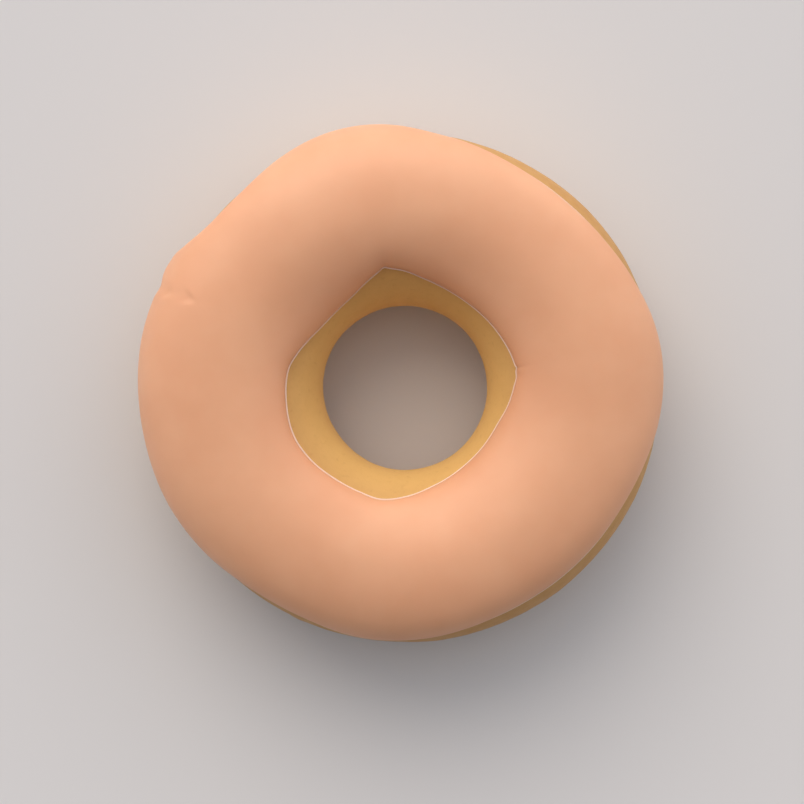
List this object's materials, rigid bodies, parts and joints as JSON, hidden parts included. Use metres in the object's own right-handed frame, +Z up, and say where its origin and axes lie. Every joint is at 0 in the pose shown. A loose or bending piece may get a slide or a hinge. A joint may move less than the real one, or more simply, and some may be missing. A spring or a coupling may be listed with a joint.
{
  "type": "ring doughnut",
  "caption": "Ring doughnut of fried dough, round with a hole through the middle and a flattened base, coated on its upper side with smooth apricot-pink icing that ran unevenly down the outside.",
  "frame": {"origin": "on the table, below the middle of the doughnut's outline; the hole's axis stands 0.7 mm to +X and 0.9 mm to -Y of it, because the icing bulges more at the other side", "axes": "+Z up, along the hole's axis; +Y away from the viewer, so the icing's deepest run is at -X and the second at +Y"},
  "size_m": [0.0942, 0.0924, 0.031],
  "materials": {
    "fried_dough": "matte",
    "icing": "satin"
  },
  "bodies": {
    "root": {"dough_ring": "fried_dough", "icing_coat": "icing"}
  },
  "joints": []
}
